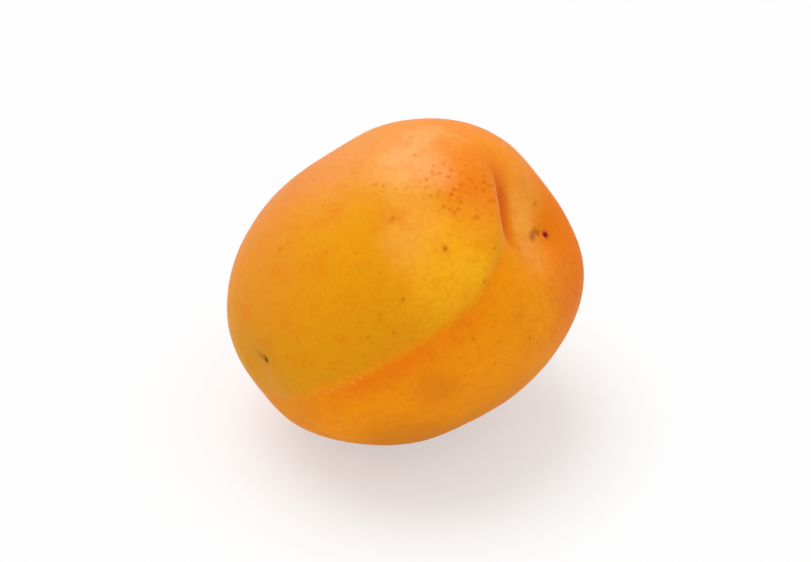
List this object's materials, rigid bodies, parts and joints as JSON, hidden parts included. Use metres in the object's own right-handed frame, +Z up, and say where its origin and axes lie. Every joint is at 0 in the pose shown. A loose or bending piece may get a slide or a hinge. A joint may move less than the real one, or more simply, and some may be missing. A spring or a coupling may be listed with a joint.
{
  "type": "apricot",
  "caption": "Whole ripe apricot lying on its cheek, with a stem cavity, a suture line and an apex scar.",
  "frame": {"origin": "on the table under the middle of the fruit, inside the small flat spot it rests on", "axes": "+Z up out of the flat spot; +X along the fruit's longest side, towards the end with the stem cavity; -Y towards the suture"},
  "size_m": [0.0499, 0.0467, 0.0447],
  "materials": {
    "skin": "velvety yellow-orange fruit skin with a pink blush and small brown freckles"
  },
  "bodies": {
    "root": {"apricot": "skin"}
  },
  "joints": []
}
